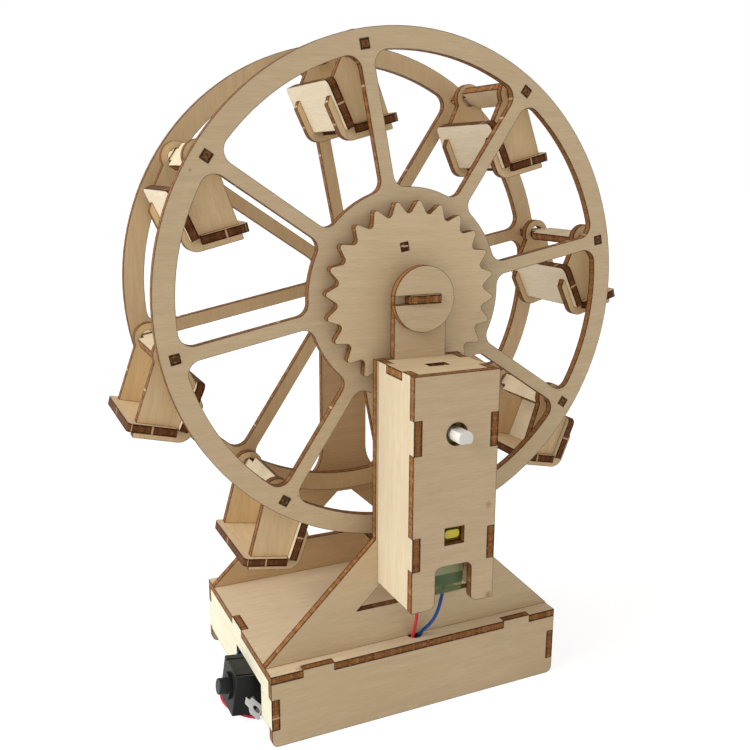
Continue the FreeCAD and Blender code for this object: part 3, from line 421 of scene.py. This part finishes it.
# Materials of the solids
def dress(name, material):
    materials = nodes[name].data.materials
    materials.clear()
    materials.append(material)


def first_depth(name, normal, around=origin):
    # where a node starts along a direction, counted from the place around
    return min((v.co - around).dot(normal) for v in nodes[name].data.vertices)


# each flat piece, with its sheet's direction and its grain's
flat_pieces = {
    "base_front_panel": (Y, X), "base_back_panel": (Y, X), "base_left_panel": (X, Y),
    "base_right_panel": (X, Y), "base_top_panel": (Z, X), "support_front": (Y, X),
    "support_rear": (Y, X), "tower_front_panel": (Y, X), "tower_left_panel": (X, Z),
    "tower_right_panel": (X, Z), "tower_top_panel": (Z, X), "axle_bar": (Z, Y),
    "wheel_front": (Y, X), "wheel_rear": (Y, Z), "drive_gear": (Y, X),
}
# Tints, partly each sheet's own tone and partly painted light: the lit left panels and top are painted
# lighter and greyer, the shaded gear and rear wheel lighter, and the tower's front a little darker
tones_and_painted_light = {
    "base_top_panel": (1.18, 1.23, 1.34), "base_left_panel": (1.24, 1.53, 1.90),
    "tower_left_panel": (1.05, 1.13, 1.24), "tower_front_panel": (0.97, 0.95, 0.95),
    "wheel_rear": (1.10, 1.06, 0.99), "support_rear": (1.06, 0.98, 0.89),
    "drive_gear": (1.13, 1.14, 1.14),
}
plain = (1.0, 1.0, 1.0)
# Painted light too: bars, cabin sides, backs and floors are painted lighter and greyer than the sheets'
# own tone, the backs where the light falls on them, the floors against the shade inside the cabins
bar_tone_and_light = (1.24, 1.36, 1.50)
side_tone_and_light = (1.16, 1.12, 1.02)
back_tone_and_light = (1.28, 1.45, 1.72)
floor_tone_and_light = (1.30, 1.31, 1.32)
side_edge = 0.9
back_edge = 0.54
floor_edge = 0.48
# scorched spots: a place, a radius and a strength
scorches = {
    "base_top_panel": [(Vector((-0.0485, -0.0408, 0.028)), 0.0026, 0.55)],
    "tower_front_panel": [(Vector((0.0134, -0.0632, 0.0879)), 0.0021, 0.60),
                          (Vector((0.0144, -0.0632, 0.0540)), 0.0022, 0.75)],
    "wheel_front": [(Vector((-0.0749, -0.0252, 0.2106)), 0.0006, 0.6),
                    (Vector((-0.0769, -0.0252, 0.2006)), 0.0008, 0.8),
                    (Vector((-0.0428, -0.0252, 0.0868)), 0.0007, 0.7),
                    (Vector((-0.0447, -0.0252, 0.0837)), 0.0006, 0.7)],
}
bridges = {
    "base_top_panel": no_bridge, "tower_front_panel": no_bridge, "base_front_panel": no_bridge,
    "support_front": no_bridge, "base_left_panel": left_panel_bridge,
}


def dress_flat_pieces():
    for count, (name, (normal, grain)) in enumerate(flat_pieces.items()):
        around = axle if name in ("wheel_front", "wheel_rear", "drive_gear") else origin
        start = first_depth(name, normal, around)
        dress(name, plywood(name, normal, grain, 1.7 * count + 0.4, start, around,
                            tone_and_light=tones_and_painted_light.get(name, plain), mark=bridges.get(name),
                            spots=scorches.get(name, ())))
    for count, name in enumerate(("axle_retainers", "wheel_spacers")):
        front = first_depth(name, Y)
        rear = -first_depth(name, -Y)
        dress(name, plywood(name, Y, X, 31.0 + count, (rear - front) / 2 - sheet,
                            axle + Y * (front + rear) / 2, twin=True))
    dress("gear_pegs", plywood("pegs", X, Y, 33.0, around=axle))
    dress("crossbars", plywood("crossbars", Y, Y, 35.0, around=axle, bars=True, tone_and_light=bar_tone_and_light))


def dress_cabin(index):
    stem = "cabin_" + str(index + 1)
    angle = math.radians(wheel_turned + 360 / cabins * index)
    hang = axle + Vector((bar_circle * math.sin(angle), wheel_middle, bar_circle * math.cos(angle)))
    way = 1 if cabin_faces_left[index] else -1
    swing = Matrix.Rotation(math.radians(cabin_swing[index]) * way, 3, "Y")
    up = swing @ Z
    out = swing @ Vector((way * back_rise, 0, -back_run)).normalized()
    inside = cabin_rear_in[index] / 2
    dress(stem + "_sides",
          plywood(stem + "_sides", Y, up, 41.0 + index * 2.3, cabin_over / 2 - inside - sheet,
                  hang - Y * inside, twin=True, tone_and_light=side_tone_and_light, edge=side_edge))
    dress(stem + "_back",
          plywood(stem + "_back", out, Y, 61.0 + index * 1.9, first_depth(stem + "_back", out, hang),
                  hang, tone_and_light=back_tone_and_light, edge=back_edge, mark=back_bridge * way))
    dress(stem + "_floor",
          plywood(stem + "_floor", up, Y, 81.0 + index * 2.1, first_depth(stem + "_floor", up, hang),
                  hang, tone_and_light=floor_tone_and_light, edge=floor_edge, mark=floor_bridge * way))


def dress_bought_pieces():
    # painted shade: the shells are darker behind the latch's bump, where they lie in shade inside the tower
    yellow = moulded("yellow_plastic", (0.68, 0.56, 0.038), 0.42, painted_shade=(-0.0612, -0.0606))
    dress("gearbox_front_shell", yellow)
    dress("gearbox_rear_shell", yellow)
    white = moulded("white_plastic", (0.76, 0.745, 0.69), 0.38)
    dress("pinion", white)
    dress("output_shaft", white)
    dress("motor_can", metal("can_steel", (0.80, 0.74, 0.48), 0.48, (1.0, 1.0, 0.08)))
    dress("motor_end_cap", moulded("cap_plastic", (0.002, 0.044, 0.088), 0.4, shine=0.2))
    dress("motor_strap", clear_strap)
    steel = metal("screw_steel", (0.50, 0.50, 0.52), 0.35, (1.0, 1.0, 1.0))
    dress("gearbox_screws", steel)
    dress("switch_spring", steel)
    # painted shade: the tabs are dark grey so that the switch tab's oval hole in front of them reads as
    # shade
    dress("metal_tabs", metal("tab_tin_painted_shade", (0.24, 0.24, 0.235), 0.45, (1.0, 1.0, 0.15)))
    dress("switch_housing", moulded("black_plastic", (0.009, 0.010, 0.010), 0.42, shine=0.28))
    dress("switch_button", moulded("button_plastic", (0.022, 0.023, 0.024), 0.45, shine=0.3))
    dress("battery_holder", moulded("holder_plastic", (0.025, 0.025, 0.028), 0.5))
    dress("battery_cells", moulded("cell_jacket", (0.035, 0.12, 0.055), 0.3))


# Small pieces that the solids leave plain, with their points in mm
def small_piece(name, points, faces, material):
    mesh = bpy.data.meshes.new(name)
    mesh.from_pydata([metres(point) for point in points], [], faces)
    mesh.materials.append(material)
    piece = bpy.data.objects.new(name, mesh)
    bpy.context.scene.collection.objects.link(piece)
    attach(piece, "base")


def switch_tab_face():
    # the stamped face of the bent tab, with its lug, its oval hole and its narrow foot, in x and z
    outline = [(-63.9, 10.9), (-62.5, 9.25), (-61.6, 10.0), (-57.9, 5.7), (-57.9, 4.6), (-58.8, 2.2),
               (-58.8, 0.3), (-59.8, 0.3), (-62.8, 4.1), (-63.0, 6.2), (-64.4, 8.3)]
    front = -24.05
    rear = -23.72
    hole_x = -60.1
    hole_z = 4.75
    hole_half_length = 2.15
    hole_half_width = 0.80
    hole_lean = math.radians(121)
    hole_points = 16
    hole = []
    for k in range(hole_points):
        turn = 2 * math.pi * k / hole_points
        along = hole_half_length * math.cos(turn)
        across = hole_half_width * math.sin(turn)
        hole.append((hole_x + along * math.cos(hole_lean) - across * math.sin(hole_lean),
                     hole_z + along * math.sin(hole_lean) + across * math.cos(hole_lean)))
    flat = tessellate_polygon([[Vector((x, z, 0)) for x, z in loop] for loop in (outline, hole)])
    ring = outline + hole
    total = len(ring)
    points = [(x, front, z) for x, z in ring] + [(x, rear, z) for x, z in ring]
    faces = [tuple(face) for face in flat]
    faces += [tuple(v + total for v in reversed(face)) for face in flat]
    for first, size in ((0, len(outline)), (len(outline), hole_points)):
        for k in range(size):
            a = first + k
            b = first + (k + 1) % size
            faces.append((a, b, b + total, a + total))
    tin = metal("bright_tin", (0.93, 0.93, 0.92), 0.4, (1.0, 1.0, 0.15), metallic=0.25)
    small_piece("switch_tab_face", points, faces, tin)


def strap_end():
    # the clear strap runs on a little past the motor's cap and turns under it in a soft loop
    half_width = 5.7
    middle = -50.8
    reach = 8.3
    wall = 0.7
    top = 57.4
    bottom = 54.7
    outer_corner = 2.2
    inner_corner = 1.5
    bends = 6
    profiles = []
    for out, low, corner in ((reach, bottom, outer_corner), (reach - wall, bottom + wall, inner_corner)):
        side = [(-out, top)]
        for k in range(bends + 1):
            turn = math.pi / 2 / bends * k
            side.append((-out + corner - corner * math.cos(turn), low + corner - corner * math.sin(turn)))
        profiles.append(side + [(-y, z) for y, z in reversed(side)])
    count = len(profiles[0])
    points = [(x, middle + y, z) for x in (-half_width, half_width) for side in profiles for y, z in side]
    faces = []
    for k in range(count - 1):
        for first, second in ((0, 2), (3, 1), (1, 0), (2, 3)):
            a = first * count + k
            b = second * count + k
            faces.append((a, a + 1, b + 1, b))
    for k in (0, count - 1):
        faces.append((k, count + k, 3 * count + k, 2 * count + k))
    small_piece("strap_end", points, faces, clear_strap)


# Wires: each follows the same points as its solid, in mm
red_motor_route = [
    (-6.65, -47.0, 55.4), (-5.8, -47.2, 48.6), (-4.6, -45.6, 41.2), (-2.8, -41.0, 34.8),
    (-1.9, -37.3, 27.6), (-3.4, -35.2, 21.4), (-7.8, -29.6, 17.8), (-13.0, -22.4, 17.2),
    (-18.2, -16.4, 17.4), (-17.8, -9.05, 17.5),
]
blue_route = [
    (6.65, -47.0, 55.4), (4.9, -47.2, 48.4), (4.2, -45.4, 40.6), (3.4, -41.4, 34.0),
    (0.7, -37.2, 28.6), (-0.6, -36.6, 20.2), (-4.6, -35.6, 13.8), (-12.4, -32.6, 9.6),
    (-23.0, -27.0, 8.6), (-34.2, -20.0, 9.2), (-44.2, -11.6, 10.6), (-51.4, -4.8, 13.0),
    (-56.6, -1.0, 15.4), (-60.8, -2.0, 16.9), (-61.6, -6.0, 17.0),
]
red_switch_route = [
    (-60.4, -23.45, 1.3), (-63.0, -21.4, 1.1), (-66.2, -17.0, 1.2), (-68.8, -11.2, 1.7),
    (-69.0, -5.6, 3.0), (-65.6, -1.6, 4.8), (-60.4, -1.2, 7.0), (-53.8, 0.4, 8.4),
    (-44.8, 4.6, 8.6), (-33.0, 8.4, 10.0), (-23.8, 9.4, 13.6), (-17.8, 7.85, 17.5),
]


def wire(name, colour, route):
    lead = name.replace("wire", "lead")
    curve = bpy.data.curves.new(lead, "CURVE")
    curve.dimensions = "3D"
    curve.bevel_depth = wire_radius
    curve.bevel_resolution = 5
    curve.resolution_u = 24
    curve.use_fill_caps = True
    spline = curve.splines.new("NURBS")
    spline.points.add(len(route) - 1)
    for point, place in zip(spline.points, route):
        point.co = (*metres(place), 1)
    spline.order_u = 3
    spline.use_endpoint_u = True
    curve.materials.append(moulded(name + "_pvc", colour, 0.35, specks=0.08, shine=0.3))
    piece = bpy.data.objects.new(lead, curve)
    bpy.context.scene.collection.objects.link(piece)
    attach(piece, "base")
    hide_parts(name)


# Light: a soft key from the left, an even surround, white to the camera
def make_surround():
    world = bpy.data.worlds.new("surround")
    bpy.context.scene.world = world
    world.use_nodes = True
    tree = world.node_tree
    tree.nodes.clear()
    soft = tree.nodes.new("ShaderNodeBackground")
    soft.inputs["Color"].default_value = (1.0, 0.975, 0.94, 1)
    soft.inputs["Strength"].default_value = 0.58
    white = tree.nodes.new("ShaderNodeBackground")
    white.inputs["Color"].default_value = (1, 1, 1, 1)
    white.inputs["Strength"].default_value = 1.0
    path = tree.nodes.new("ShaderNodeLightPath")
    pick = tree.nodes.new("ShaderNodeMixShader")
    out = tree.nodes.new("ShaderNodeOutputWorld")
    tree.links.new(path.outputs["Is Camera Ray"], pick.inputs[0])
    tree.links.new(soft.outputs[0], pick.inputs[1])
    tree.links.new(white.outputs[0], pick.inputs[2])
    tree.links.new(pick.outputs[0], out.inputs["Surface"])


def make_key():
    towards = Vector((-0.88, -0.03, 0.50))
    data = bpy.data.lights.new("key", "SUN")
    data.energy = 2.7
    data.color = (0.95, 0.985, 1.0)
    data.angle = math.radians(40)
    lamp = bpy.data.objects.new("key", data)
    lamp.rotation_mode = "QUATERNION"
    lamp.rotation_quaternion = towards.to_track_quat("Z", "Y")
    bpy.context.scene.collection.objects.link(lamp)


def make_floor():
    # white to the camera, grey where the object's shadow falls, plain for every other ray
    reach = 6.0
    corners = [(-reach, -reach, 0), (reach, -reach, 0), (reach, reach, 0), (-reach, reach, 0)]
    mesh = bpy.data.meshes.new("floor")
    mesh.from_pydata(corners, [], [(0, 1, 2, 3)])
    floor = bpy.data.objects.new("floor", mesh)
    bpy.context.scene.collection.objects.link(floor)
    paint = Paint("pale_floor")
    inputs = paint.shader.inputs
    seen = paint.add("ShaderNodeLightPath").outputs["Is Camera Ray"]
    paint.put(inputs["Base Color"], paint.mix(seen, (0.86, 0.86, 0.86), (0.30, 0.30, 0.30)))
    paint.put(inputs["Emission Strength"], paint.calc("MULTIPLY", seen, 0.81))
    inputs["Emission Color"].default_value = (1, 1, 1, 1)
    inputs["Roughness"].default_value = 0.9
    mesh.materials.append(paint.material)


make_camera()
dress_flat_pieces()
for cabin in range(cabins):
    dress_cabin(cabin)
dress_bought_pieces()
switch_tab_face()
strap_end()
wire("wire_red_motor", (0.52, 0.018, 0.032), red_motor_route)
wire("wire_blue", (0.006, 0.060, 0.27), blue_route)
wire("wire_red_switch", (0.55, 0.022, 0.050), red_switch_route)
make_surround()
make_key()
make_floor()
bpy.context.scene.view_settings.view_transform = "Standard"
